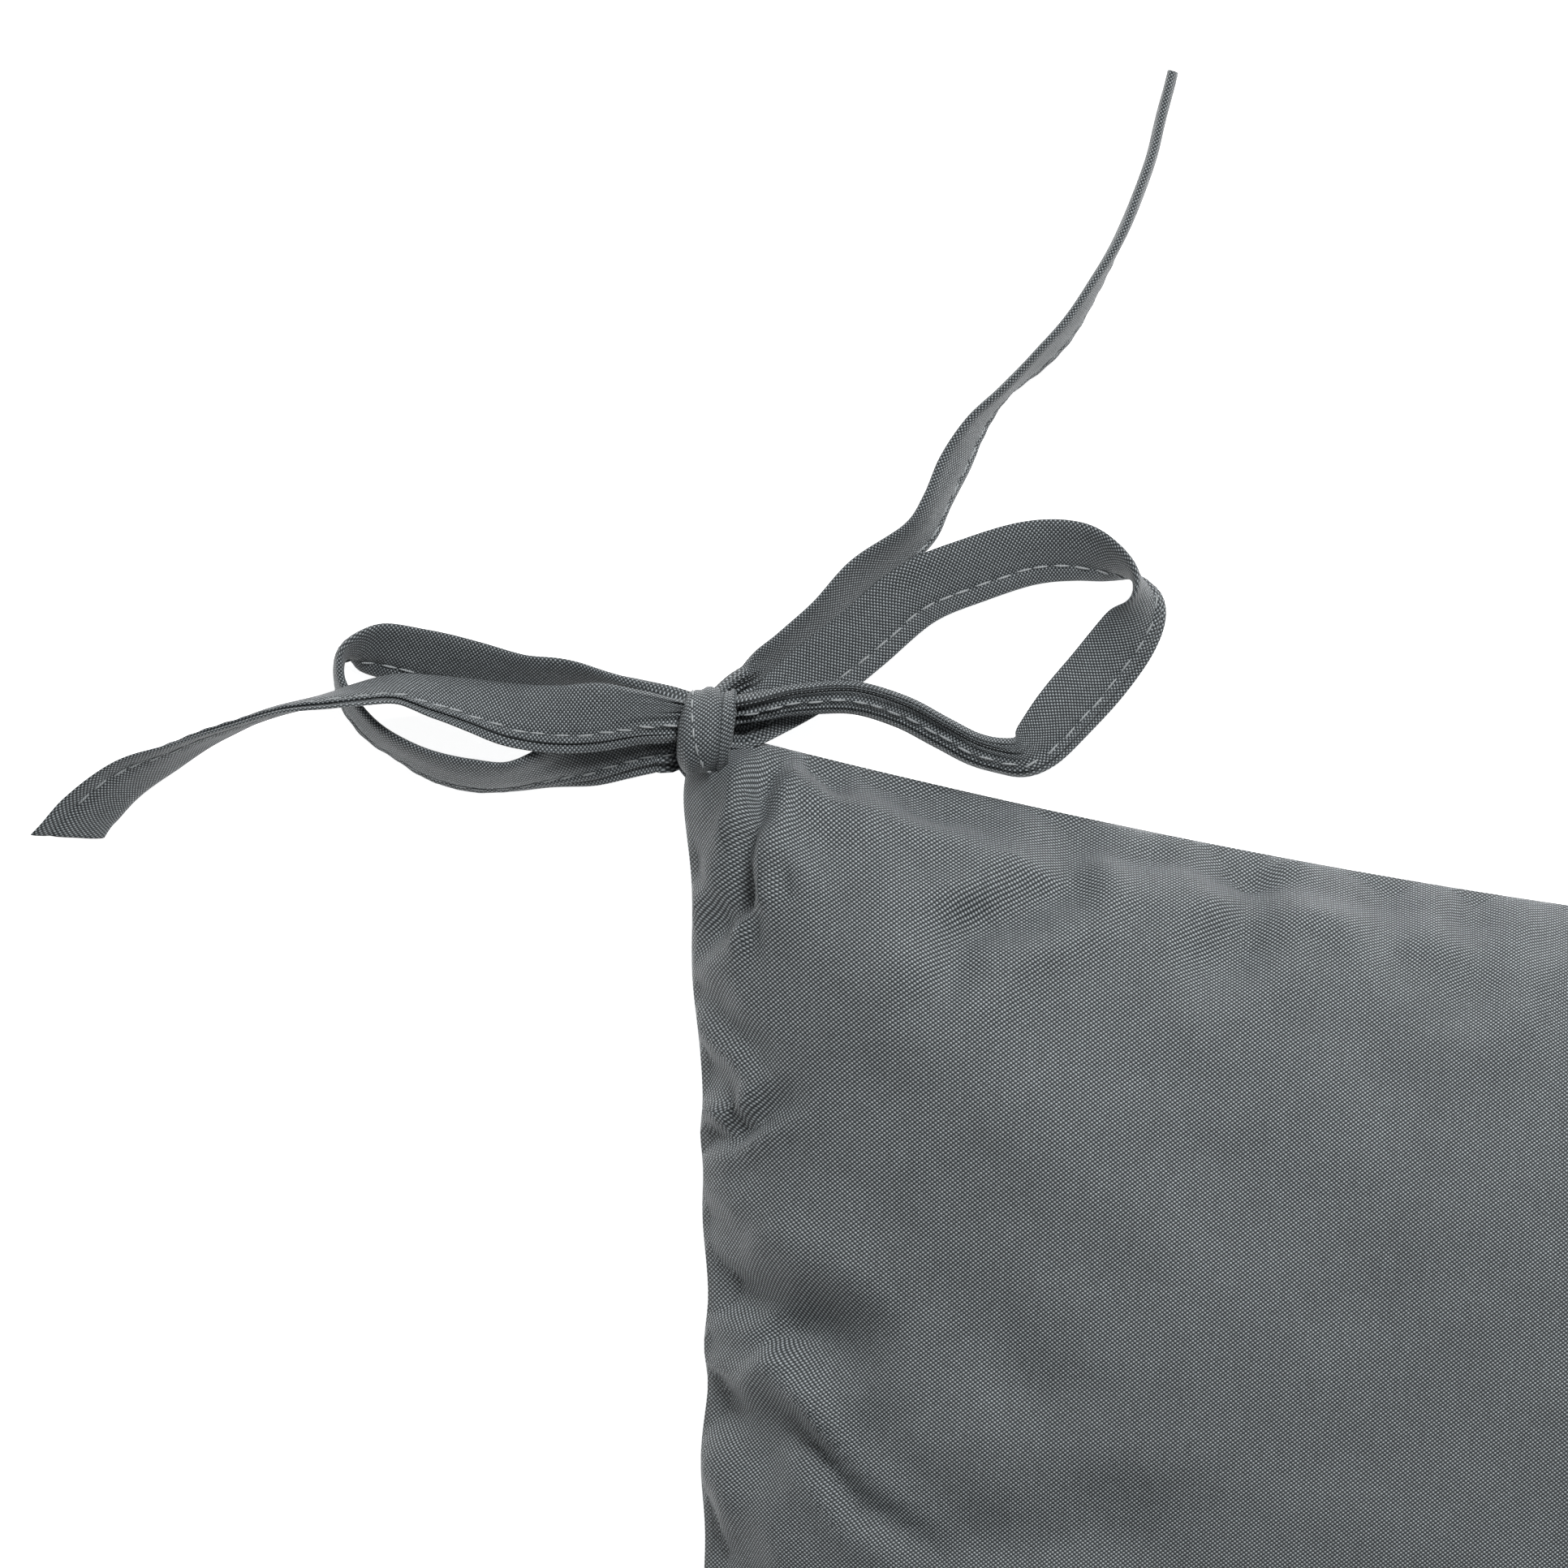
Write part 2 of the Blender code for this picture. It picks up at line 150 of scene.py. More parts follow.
def wovenCloth(name, look):
    # Plain-woven polyester: every thread goes over one and under the next, so its crowns stand in a
    # checker.
    # The colour carries painted highlight on the crowns and painted shade in the gaps between them, and
    # the filament yarn has a soft glint
    material, tree, shader = startMaterial(name, look["roughness"], look["specular"], look["sheen"])
    flat = addNode(tree, "ShaderNodeUVMap", uv_map="flatCloth")
    across, along = look["pitch"]

    # The threads wander a little
    wander = addNode(tree, "ShaderNodeTexNoise",
                     {"Vector": flat.outputs[0], "Scale": 260.0, "Detail": 2.0}, noise_dimensions="2D")
    shift = addNode(tree, "ShaderNodeVectorMath", {0: wander.outputs["Color"], 1: (0.5, 0.5, 0.5)},
                    operation="SUBTRACT")
    moved = addNode(tree, "ShaderNodeVectorMath",
                    {0: shift.outputs[0], 1: (look["wander"],) * 3, 2: flat.outputs[0]},
                    operation="MULTIPLY_ADD")
    threads = addNode(tree, "ShaderNodeMapping",
                      {"Vector": moved.outputs[0], "Scale": (math.pi / across, math.pi / along, 1.0)})
    parts = addNode(tree, "ShaderNodeSeparateXYZ", {0: threads.outputs[0]})
    warp = addNode(tree, "ShaderNodeMath", {0: parts.outputs[0]}, operation="SINE")
    weft = addNode(tree, "ShaderNodeMath", {0: parts.outputs[1]}, operation="SINE")
    cross = addNode(tree, "ShaderNodeMath", {0: warp.outputs[0], 1: weft.outputs[0]},
                    operation="MULTIPLY")
    crown = addNode(tree, "ShaderNodeMath", {0: cross.outputs[0]}, operation="ABSOLUTE")
    height = addNode(tree, "ShaderNodeMath", {0: crown.outputs[0], 1: 0.6}, operation="POWER")
    warpOver = addNode(tree, "ShaderNodeMapRange",
                       {"Value": cross.outputs[0], "From Min": -0.5, "From Max": 0.5})

    # Colour: painted shade in the gaps, warp crowns painted bright as highlight against dark weft crowns,
    # a slow mottle and streaks along the yarns
    crownTone = addNode(tree, "ShaderNodeMix",
                        {0: warpOver.outputs[0], 6: hexColour(look["weft"]), 7: hexColour(look["warp"])},
                        data_type="RGBA")
    # Painted shade: the colour darkens from the crowns down into the gaps
    woven = addNode(tree, "ShaderNodeMix",
                    {0: height.outputs[0], 6: hexColour(look["paintedGapShade"]), 7: crownTone.outputs[2]},
                    data_type="RGBA")
    slub = addNode(tree, "ShaderNodeMapping",
                   {"Vector": flat.outputs[0], "Scale": (1 / across, 0.05 / along, 1.0)})
    slubNoise = addNode(tree, "ShaderNodeTexNoise",
                        {"Vector": slub.outputs[0], "Scale": 1.0, "Detail": 2.0}, noise_dimensions="2D")
    mottle = addNode(tree, "ShaderNodeTexNoise",
                     {"Vector": flat.outputs[0], "Scale": 55.0, "Detail": 3.0}, noise_dimensions="2D")
    blend = addNode(tree, "ShaderNodeMath", {0: slubNoise.outputs[0], 1: mottle.outputs[0]},
                    operation="ADD")
    tone = addNode(tree, "ShaderNodeMapRange",
                   {"Value": blend.outputs[0], "From Min": 0.6, "From Max": 1.4,
                    "To Min": 1 - look["mottle"], "To Max": 1 + look["mottle"]})
    # No two crowns of the filament yarn catch the light alike
    cell = addNode(tree, "ShaderNodeMapping",
                   {"Vector": flat.outputs[0], "Scale": (1 / across, 1 / along, 1.0)})
    whole = addNode(tree, "ShaderNodeVectorMath", {0: cell.outputs[0]}, operation="FLOOR")
    odd = addNode(tree, "ShaderNodeTexWhiteNoise", {"Vector": whole.outputs[0]}, noise_dimensions="2D")
    crownLift = addNode(tree, "ShaderNodeMapRange",
                        {"Value": odd.outputs[0], "To Min": 1 - look["crowns"],
                         "To Max": 1 + look["crowns"]})
    both = addNode(tree, "ShaderNodeMath", {0: tone.outputs[0], 1: crownLift.outputs[0]},
                   operation="MULTIPLY")
    toned = addNode(tree, "ShaderNodeVectorMath", {0: woven.outputs[2], "Scale": both.outputs[0]},
                    operation="SCALE")
    tree.links.new(toned.outputs[0], shader.inputs["Base Color"])
    bump = addNode(tree, "ShaderNodeBump",
                   {"Height": height.outputs[0], "Strength": look["bump"], "Distance": look["depth"]})
    tree.links.new(bump.outputs[0], shader.inputs["Normal"])
    return material


coverLook = {
    # Thread spacing, drawn a fifth coarser than the real cloth's 0.35 by 0.29 mm so that it shows
    "pitch": (0.42 * mm, 0.35 * mm), "wander": 0.00006,
    # The warp colour is a painted highlight on the crowns, and the gap colour is painted shade between
    # the threads
    "warp": "b5bcc0", "weft": "22292c", "paintedGapShade": "1d2326",
    "roughness": 0.55, "specular": 0.5, "sheen": 0.08, "mottle": 0.12,
    "crowns": 0.12, "bump": 0.8, "depth": 0.12 * mm,
}

# The straps are the same cloth, a shade darker, with the same painted highlight and shade in the weave
strapLook = {**coverLook, "warp": "aab1b5", "weft": "1f2629", "paintedGapShade": "181d20"}


def threadPolyester():
    # Spun polyester sewing thread: two plies twisted, a shade lighter than the cloth, slightly shiny
    material, tree, shader = startMaterial("polyesterSewingThread", 0.5, 0.5, 0.0)
    place = addNode(tree, "ShaderNodeTexCoord")
    twist = addNode(tree, "ShaderNodeTexWave",
                    {"Vector": place.outputs["Object"], "Scale": 900.0, "Distortion": 1.0})
    colour = addNode(tree, "ShaderNodeMix",
                     {0: twist.outputs["Fac"], 6: hexColour("787d7f"), 7: hexColour("b0b4b6")},
                     data_type="RGBA")
    tree.links.new(colour.outputs[2], shader.inputs["Base Color"])
    return material


def cutFoam():
    # Open-cell polyurethane foam: matt cream with fine pores
    material, tree, shader = startMaterial("cutPolyurethaneFoam", 0.95, 0.2, 0.0)
    place = addNode(tree, "ShaderNodeTexCoord")
    pores = addNode(tree, "ShaderNodeTexVoronoi", {"Vector": place.outputs["Object"], "Scale": 900.0})
    colour = addNode(tree, "ShaderNodeMix",
                     {0: pores.outputs["Distance"], 6: hexColour("b8ab86"), 7: hexColour("eadfbd")},
                     data_type="RGBA")
    bump = addNode(tree, "ShaderNodeBump",
                   {"Height": pores.outputs["Distance"], "Strength": 0.6, "Distance": 0.3 * mm})
    tree.links.new(colour.outputs[2], shader.inputs["Base Color"])
    tree.links.new(bump.outputs[0], shader.inputs["Normal"])
    return material


def looseWadding():
    # Carded polyester wadding: white, matted fibres
    material, tree, shader = startMaterial("cardedPolyesterWadding", 1.0, 0.2, 0.3)
    place = addNode(tree, "ShaderNodeTexCoord")
    stretch = addNode(tree, "ShaderNodeMapping",
                      {"Vector": place.outputs["Object"], "Scale": (140.0, 900.0, 400.0)})
    fibres = addNode(tree, "ShaderNodeTexNoise",
                     {"Vector": stretch.outputs[0], "Scale": 1.0, "Detail": 5.0, "Distortion": 1.5})
    colour = addNode(tree, "ShaderNodeMix",
                     {0: fibres.outputs[0], 6: hexColour("c9c9c5"), 7: hexColour("f4f4f1")},
                     data_type="RGBA")
    bump = addNode(tree, "ShaderNodeBump",
                   {"Height": fibres.outputs[0], "Strength": 0.8, "Distance": 0.6 * mm})
    tree.links.new(colour.outputs[2], shader.inputs["Base Color"])
    tree.links.new(bump.outputs[0], shader.inputs["Normal"])
    return material


# The table glows a little, so that it stays white all round the pad
table = {"colour": (0.92, 0.92, 0.92, 1), "glow": 0.88, "size": 4.0, "drop": 0.2 * mm}


def paleTable():
    # A matt white painted table top
    material, _, shader = startMaterial("paintedTableTop", 0.9, 0.1, 0.0)
    shader.inputs["Base Color"].default_value = table["colour"]
    shader.inputs["Emission Color"].default_value = (1, 1, 1, 1)
    shader.inputs["Emission Strength"].default_value = table["glow"]
    return material


def addFloor():
    bm = bmesh.new()
    bmesh.ops.create_grid(bm, x_segments=1, y_segments=1, size=table["size"])
    floor = finishPiece("table_top", bm, paleTable())
    floor.location.z = -table["drop"]


def finishPiece(name, bm, material, turnOut=True):
    if turnOut:
        bmesh.ops.recalc_face_normals(bm, faces=bm.faces)
    mesh = bpy.data.meshes.new(name)
    bm.to_mesh(mesh)
    bm.free()
    mesh.shade_smooth()
    mesh.materials.append(material)
    piece = bpy.data.objects.new(name, mesh)
    bpy.context.scene.collection.objects.link(piece)
    return piece


def layCloth(bm, columns, rows, flatAt, place):
    # A grid of cloth, with its flat place flatAt(column, row) as its UV, laid by place(column, row)
    fresh = bmesh.ops.create_grid(bm, x_segments=columns, y_segments=rows, size=0.5)["verts"]
    flat = bm.loops.layers.uv.get("flatCloth") or bm.loops.layers.uv.new("flatCloth")
    cells = {vert: (round((vert.co.x + 0.5) * columns), round((vert.co.y + 0.5) * rows))
             for vert in fresh}
    for face in {face for vert in fresh for face in vert.link_faces}:
        for loop in face.loops:
            loop[flat].uv = flatAt(*cells[loop.vert])
    for vert in fresh:
        vert.co = place(*cells[vert])
    return fresh


strap = {
    "width": 12 * mm,
    "step": 0.8 * mm,           # between stations along it
    "flatSide": 5.0,            # millimetres on the stitched side that stay flat where it is gathered
    "stitchPitch": 3.8 * mm, "stitchLength": 2.9 * mm, "stitchThread": 0.5 * mm,
    "stitchLine": -2.9,         # across the strap, in millimetres from its middle
    "stitchJitter": 0.16,       # millimetres either side of that line
    "stitchDepths": (0.60, -0.58),   # a crown on each face, millimetres from the middle of the thickness
    "stitchDimple": 0.10,       # how much each stitch pinches the cloth beside it
    "dimpleReach": 1.4,         # how far across the strap, in millimetres
    "pleats": 3.2, "pleatDepth": 1.3 * mm,
    "pleatReach": 22 * mm,      # from the knot to where only a quarter of the pleats is left
    "tightest": 0.45,           # how much narrower the strap is where the pleats are full
    "ease": 0.35 * mm,          # slow waves along it
    "cutReach": 12 * mm,        # how far back from its end a slanted cut shows
}

# Cross-section of the folded strap in millimetres: across from the open edge to the fold, and through.
# The face layer ends short of the open edge, on top of the longer layer below it.
strapSection = (
    (-5.75, -0.48), (-6.0, -0.22), (-5.78, 0.02), (-5.1, 0.08), (-4.5, 0.00), (-3.7, 0.10),
    (-4.35, 0.40), (-4.20, 0.72), (-3.5, 0.72), (-2.9, 0.46), (-2.3, 0.70), (-1.3, 0.90),
    (0.2, 1.0), (1.8, 1.02), (3.4, 0.95), (4.7, 0.80), (5.5, 0.55), (5.95, 0.15), (5.95, -0.2),
    (5.5, -0.58), (4.7, -0.80), (3.4, -0.92), (1.8, -0.96), (0.2, -0.94), (-1.3, -0.85),
    (-2.3, -0.66), (-2.9, -0.44), (-3.6, -0.62), (-4.6, -0.66), (-5.3, -0.60),
)
sectionDetail = 2              # steps between two points of the section

# Points along the straps of the left bow, in millimetres: right and rear of the pad's sharp corner,
# then height, the roll of the strap about its own line in degrees, and the share of its width
swingPoint = (4.5, 1.5, 7.5)
knotPoint = (4.5, -1.5, 12.5)
rightLoop = [
    (9.8, -0.8, 9.7, -10, 0.58), (12.5, 0, 9.6, -8, 0.62), (17, 4.5, 9.2, 0, 0.85),
    (23, 10, 8.2, 4, 1), (30.5, 17, 8, 8, 1), (39.5, 26, 7.8, 12, 1), (49, 31, 6.6, 16, 1),
    (59, 35, 5.6, 20, 1), (67.5, 36, 6, 32, 1), (74, 34.5, 7, 60, 1), (78, 32, 7.3, 92, 1),
    (79.5, 28, 6.8, 130, 1), (77.5, 22.5, 5.4, 158, 1), (73, 15, 4.2, 170, 1),
    (67.5, 7.4, 4.8, 162, 1), (63.6, 1.8, 5.2, 158, 0.9), (60.8, -1.0, 5.6, 152, 0.72),
    (57, -1.4, 5.6, 150, 0.6), (52, -0.6, 5.6, 152, 0.55), (46, 1.9, 6.4, 155, 0.53),
    (38.5, 4.9, 9.4, 157, 0.53), (30, 6.5, 14, 156, 0.53), (21, 5.4, 15.6, 152, 0.52),
    (14, 3.4, 15.4, 148, 0.5), (9.8, 2.4, 14.4, 146, 0.48),
]
rightTail = [
    (9.5, 6.2, 7.8, 40, 0.55), (12, 8.2, 6.4, 44, 0.65), (14.6, 11, 5.4, 50, 0.9),
    (18.4, 14.2, 5.2, 52, 1), (23.8, 20.2, 5.2, 54, 1), (30, 28, 5.3, 54, 1),
    (38.8, 36, 5.7, 60, 1), (42, 42.5, 6, 64, 1), (44.5, 49.5, 6.2, 62, 1),
    (47.5, 56.5, 6.4, 70, 1), (52, 63, 6.5, 84, 1), (58, 69.5, 6.5, 76, 1), (63, 76.5, 6.5, 78, 1),
    (67.5, 86, 6.5, 86, 1), (71, 95.5, 6.5, 90, 1), (74, 106, 6.5, 90, 1),
    (75.5, 115.5, 6.5, 90, 1), (76.5, 121.5, 6.5, 90, 1),
]
leftLoop = [
    (-1.4, 3.5, 10, 112, 0.6), (-7.5, 4.5, 8.8, 110, 0.8), (-14.5, 5, 7.2, 115, 1),
    (-21.5, 5.5, 6.6, 125, 1), (-29, 5, 6, 135, 1), (-37.5, 6, 5.5, 145, 1), (-46, 7, 5.2, 150, 1),
    (-53.5, 8, 5.6, 143, 1), (-58, 7.5, 6.4, 118, 1), (-60.5, 6, 6.5, 92, 1),
    (-60.5, 2, 6.5, 85, 1), (-58.5, -2, 6.4, 76, 1), (-54, -6.5, 6.4, 72, 1),
    (-48.5, -9.5, 6.4, 72, 1), (-42.5, -12, 6.2, 65, 1), (-36, -13, 6.2, 62, 1),
    (-29, -12.5, 6.2, 66, 1), (-22, -10, 6.6, 50, 1), (-15.5, -7.5, 7.2, 24, 1),
    (-9, -5.6, 8.4, 12, 0.9), (-4, -4.6, 9.7, 6, 0.8), (-1, -4.3, 10, 4, 0.75),
]
leftTail = [
    (-1, 0, 15, 175, 0.65), (-7, 0, 15, 176, 0.8), (-14, -0.5, 14, 180, 1), (-21, -1.5, 13, 186, 1),
    (-28.5, -1.5, 12.5, 200, 1), (-35.5, -0.5, 12.5, 218, 1), (-43, 0.5, 14, 232, 1),
    (-50, 1, 16.5, 245, 1), (-57, -0.5, 19.3, 255, 1), (-62.5, -2, 19.2, 262, 1),
    (-69.5, -4, 17, 268, 1), (-76.5, -7, 14, 273, 1), (-83.5, -10.5, 11, 282, 1),
    (-90, -14.5, 8.6, 295, 1), (-97, -19, 6.6, 310, 1), (-102.5, -24.5, 5, 322, 1),
    (-106, -29.5, 4.4, 330, 1),
]
# Inside the knot one strap goes from the right loop to the left tail, the other from the left loop
# to the right tail
firstStrap = [(5.5, -1.0, 11, -10, 0.5)] + rightLoop + [(4.5, 0.8, 13.2, 145, 0.45)] + leftTail
secondStrap = [(4.0, 1.5, 11, 112, 0.5)] + leftLoop + [(4.5, 0.5, 10.0, 20, 0.5)] + rightTail
tieRoot = [
    (13, -13, 5.2, 0, 0.9), (9, -9, 5.1, 0, 0.95), (5.5, -5.5, 5, 0, 0.95),
    (3.4, -3.6, 5.4, 0, 0.9), (2.4, -2.0, 7.0, 0, 0.8), (3.0, -1.4, 9.4, 0, 0.65),
    (4.5, -1.5, 11.2, 0, 0.55),
]
# Two points along the tie's ends: where they still lie on the pad, and where they have reached the bow
rootStill = (5.5, -5.5, 5.0)
rootSwings = (3.0, -1.5, 9.0)


def curvePoint(before, start, end, after, t):
    # Catmull-Rom from start to end
    bend = (end - before) * t + (2 * before - 5 * start + 4 * end - after) * t ** 2
    return start + (bend + (3 * start - before - 3 * end + after) * t ** 3) / 2


def smoothLine(points, step):
    # A smooth line through the points, then even steps along it
    points = [Vector((x * mm, y * mm, z * mm, math.radians(roll), share))
              for x, y, z, roll, share in points]
    padded = [2 * points[0] - points[1]] + points + [2 * points[-1] - points[-2]]
    fine = []
    for near in zip(padded, padded[1:], padded[2:], padded[3:]):
        fine += [curvePoint(*near, k / 12) for k in range(12)]
    fine = np.array([list(p) for p in fine + [points[-1]]])
    travelled = np.concatenate([[0], np.cumsum(np.linalg.norm(np.diff(fine[:, :3], axis=0), axis=1))])
    count = max(2, round(travelled[-1] / step))
    places = np.linspace(0, travelled[-1], count + 1)
    even = np.stack([np.interp(places, travelled, fine[:, k]) for k in range(5)], axis=1)
    return even, places


def softSection():
    # The cross-section as a closed ring with rounded corners, in millimetres, and its running length
    ring = np.array(strapSection + strapSection[:1])
    count = len(strapSection)
    fine = []
    for i in range(count):
        near = [ring[(i + k - 1) % count] for k in range(4)]
        fine += [curvePoint(*near, k / sectionDetail) for k in range(sectionDetail)]
    fine = np.array(fine + fine[:1])
    return fine, np.concatenate([[0], np.cumsum(np.linalg.norm(np.diff(fine, axis=0), axis=1))]) * mm


def strapFrames(even):
    # Where the strap is at each station, and which way its width and its face point
    places = even[:, :3]
    along = np.gradient(places, axis=0)
    along /= np.linalg.norm(along, axis=1)[:, None]
    left = np.cross([0, 0, 1], along)
    left /= np.linalg.norm(left, axis=1)[:, None]
    up = np.cross(along, left)
    roll = even[:, 3:4]
    across = left * np.cos(roll) + up * np.sin(roll)
    return along, across, np.cross(along, across)


def acrossAt(a, share):
    # A narrowed strap keeps its open, stitched side flat and is gathered towards its folded edge
    whole, flat = strap["width"] / mm, strap["flatSide"]
    if a < flat - whole / 2:
        return a + (1 - share) * whole / 2
    squeeze = (share * whole - flat) / (whole - flat)
    return flat - share * whole / 2 + (a + whole / 2 - flat) * squeeze


def crumple(a, s, share, knotAway):
    # How far the cloth lies off the strap's flat middle plane: pleats near the knot, and ease
    gathered = max(0.0, 1 - share) / strap["tightest"] * max(0.25, 1 - knotAway / strap["pleatReach"])
    pleat = strap["pleatDepth"] * gathered * math.sin(strap["pleats"] * a + 1.3)
    ease = noise.noise(Vector((a * 0.25, s * 90, 3.1))) * strap["ease"]
    return pleat + ease


def fromKnot(even):
    return np.linalg.norm(even[:, :3] - np.array(knotPoint) * mm, axis=1)


def onSide(local, side, corner):
    # From the left bow's own place to the left (side 1) or the right (side -1) corner of the pad
    return Vector((side * local[0], local[1], local[2])) + corner


def sweptStrap(name, points, corner, side, material, face=1, endCut=0.0, seed=0.0):
    # The piece, the line that it follows and its length; face -1 turns the strap over
    even, places = smoothLine(points, strap["step"])
    along, across, through = strapFrames(even)
    section, around = softSection()
    knotAway = fromKnot(even)
    rows, columns = len(even) - 1, len(section) - 1

    def place(column, row):
        a, t = section[column] * (1, face)
        share = even[row, 4]
        lift = crumple(a, places[row] + seed, share, knotAway[row])
        slant = endCut * a * mm * max(0.0, 1 - (places[-1] - places[row]) / strap["cutReach"])
        beat = math.cos(2 * math.pi * places[row] / strap["stitchPitch"])
        pinch = 1 + strap["stitchDimple"] * beat * (abs(a - strap["stitchLine"]) < strap["dimpleReach"])
        local = even[row, :3] + across[row] * acrossAt(a, share) * mm
        local = local + through[row] * (t * mm * pinch + lift) + along[row] * slant
        return onSide(local, side, corner)

    bm = bmesh.new()
    layCloth(bm, columns, rows, lambda column, row: (around[column], places[row]), place)
    bmesh.ops.remove_doubles(bm, verts=bm.verts, dist=0.001 * mm)
    bmesh.ops.holes_fill(bm, edges=[e for e in bm.edges if e.is_boundary], sides=0)
    piece = finishPiece(name, bm, material)
    path = [list(onSide(p, side, corner)) for p in even[::3]]
    path[-1] = list(onSide(even[-1], side, corner))
    return piece, path, places[-1]


def addStitch(bm, matrix):
    # A round crown of thread, its poles at the stitch's two ends
    bmesh.ops.create_uvsphere(bm, u_segments=6, v_segments=6, radius=1.0,
                              matrix=matrix @ Matrix.Rotation(math.pi / 2, 4, "Y"))


def strapStitches(name, points, corner, side, material, seed=0.0):
    # One thread crown for each stitch, sunk a little into both faces
    even, places = smoothLine(points, strap["step"])
    along, across, through = strapFrames(even)
    knotAway = fromKnot(even)
    bm = bmesh.new()
    thread = strap["stitchThread"]
    size = Matrix.Diagonal((strap["stitchLength"] / 2, thread / 2, thread * 0.42, 1))
    toCorner = Matrix.Translation(corner) @ Matrix.Diagonal((side, 1, 1, 1))
    chance = random.Random(len(name))
    for k in range(1, int(places[-1] / strap["stitchPitch"])):
        row = int(np.argmin(abs(places - k * strap["stitchPitch"])))
        share = even[row, 4]
        a = strap["stitchLine"] + chance.uniform(-strap["stitchJitter"], strap["stitchJitter"])
        lift = crumple(a, places[row] + seed, share, knotAway[row])
        turn = Matrix((along[row], across[row], through[row])).transposed().to_4x4()
        for depth in strap["stitchDepths"]:
            middle = even[row, :3] + across[row] * acrossAt(a, share) * mm
            middle = middle + through[row] * (depth * mm + lift)
            addStitch(bm, toCorner @ Matrix.Translation(middle) @ turn @ size)
    return finishPiece(name, bm, material)


def addBow(label, side, corner, cloth, thread):
    body = label + "_bow"
    inner, outer = ("right", "left") if side > 0 else ("left", "right")
    # The straps' layered faces look out of their loops, which turn opposite ways
    routes = (
        ("strap_to_" + outer + "_tail", firstStrap, (inner + "_loop", outer + "_tail"), -1, -0.6),
        ("strap_to_" + inner + "_tail", secondStrap, (outer + "_loop", inner + "_tail"), 1, 0.0),
    )
    addKnot(label, side, corner, cloth, thread)
    for word, points, nodes, face, endCut in routes:
        name = label + "_" + word
        piece, path, length = sweptStrap(name, points, corner, side, cloth, face, endCut, seed=side)
        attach(piece, body)
        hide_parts(*(label + "_" + node for node in nodes))
        stitches = strapStitches(name + "_stitches", points, corner, side, thread, seed=side)
        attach(stitches, body)
        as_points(path)
        print("laid", name, round(length, 4))
    root = sweptStrap(label + "_tie_ends", tieRoot, corner, side, cloth)[0]
    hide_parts(label + "_tie_root")
    start, end = (onSide(Vector(point) * mm, side, corner) for point in (rootStill, rootSwings))
    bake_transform(root)
    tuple(start)
    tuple(end)


knotLook = {
    # Each turn of the strap, in millimetres: place along the bow, width, half depth, half height, bulge
    # of its middle, lean along the bow, twist
    "turns": (
        (-0.4, 8.8, 4.9, 4.9, 2.0, 0.9, 0.05),
        (3.7, 3.4, 5.0, 5.0, 1.5, 1.3, 0.10),
        (0.5, 7.4, 5.7, 4.2, 1.2, 0.9, -0.06),
    ),
    "turn": math.radians(11),
    "ripple": 0.22,             # height of the small pleats across each turn, in millimetres
    "lumps": 0.12,              # how much thicker and thinner a turn gets on its way round
    "gather": 0.12,             # how much narrower it is where it goes down in front and behind
    "steps": 72, "sides": 32,   # round the bow, and round the band's own cross-section
    # The topstitching shows over the top of the first turn: where it starts across the band, from -1 to
    # 1, how far it drifts towards the front, and how high it lies
    "stitchLine": -0.45, "stitchDrift": 0.8, "stitches": 7, "stitchRise": 1.35,
    "wrapLength": 40 * mm,      # of cloth in each turn
}


def knotPlace(turn, across, angle, thick, side, corner):
    # A flat band wrapped round the straps, puffed out along its middle, its edges rolled in. The angle
    # is from the rear over the top.
    look = knotLook
    place, width, deep, high, bulge, lean, twist = turn
    out = bulge * (1 - across ** 4) + thick / 2
    if thick > 0:
        out += look["ripple"] * math.sin(across * 6.5 + place)
    out *= 1 + look["lumps"] * math.cos(3 * angle + place)
    gather = 1 - look["gather"] * math.cos(angle) ** 4
    local = Vector((place + across * width / 2 * gather + lean * math.cos(angle),
                    math.cos(angle) * (deep + out) + twist * across * 6,
                    math.sin(angle) * (high + out))) * mm
    local.rotate(Matrix.Rotation(look["turn"], 3, "Z"))
    return onSide(local + Vector(knotPoint) * mm, side, corner)


def addKnot(label, side, corner, cloth, thread):
    look = knotLook
    steps, sides = look["steps"], look["sides"]
    bm = bmesh.new()
    for turn in look["turns"]:
        def lay(column, row, turn=turn):
            edge, angle = 2 * math.pi * column / sides, 2 * math.pi * row / steps
            return knotPlace(turn, math.cos(edge), angle, math.sin(edge), side, corner)

        def flatAt(column, row, turn=turn):
            width = math.cos(2 * math.pi * column / sides) * turn[1] / 2 * mm
            return width, look["wrapLength"] * row / steps
        layCloth(bm, sides, steps, flatAt, lay)
    bmesh.ops.remove_doubles(bm, verts=bm.verts, dist=0.001 * mm)
    knot = finishPiece(label + "_knot_wrap", bm, cloth)
    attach(knot, label + "_bow")
    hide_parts(label + "_knot")

    bm = bmesh.new()
    turn, rise, ahead = look["turns"][0], look["stitchRise"], 0.1
    width = strap["stitchThread"]
    size = Matrix.Diagonal((strap["stitchLength"] * 0.38, width / 2, width / 2, 1))
    for k in range(look["stitches"]):
        share = k / (look["stitches"] - 1)
        angle = math.pi * (0.12 + 0.76 * share)
        line = look["stitchLine"] + look["stitchDrift"] * share ** 3
        drift = look["stitchDrift"] * share ** 2 * ahead
        here = knotPlace(turn, line, angle, rise, side, corner)
        run = knotPlace(turn, line + drift, angle + ahead, rise, side, corner) - here
        turned = run.to_track_quat("X", "Z").to_matrix().to_4x4()
        bmesh.ops.create_uvsphere(bm, u_segments=6, v_segments=6, radius=1.0,
                                  matrix=Matrix.Translation(here) @ turned @ size)
    stitches = finishPiece(label + "_knot_stitches", bm, thread)
    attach(stitches, label + "_bow")
    print("knotted", label)


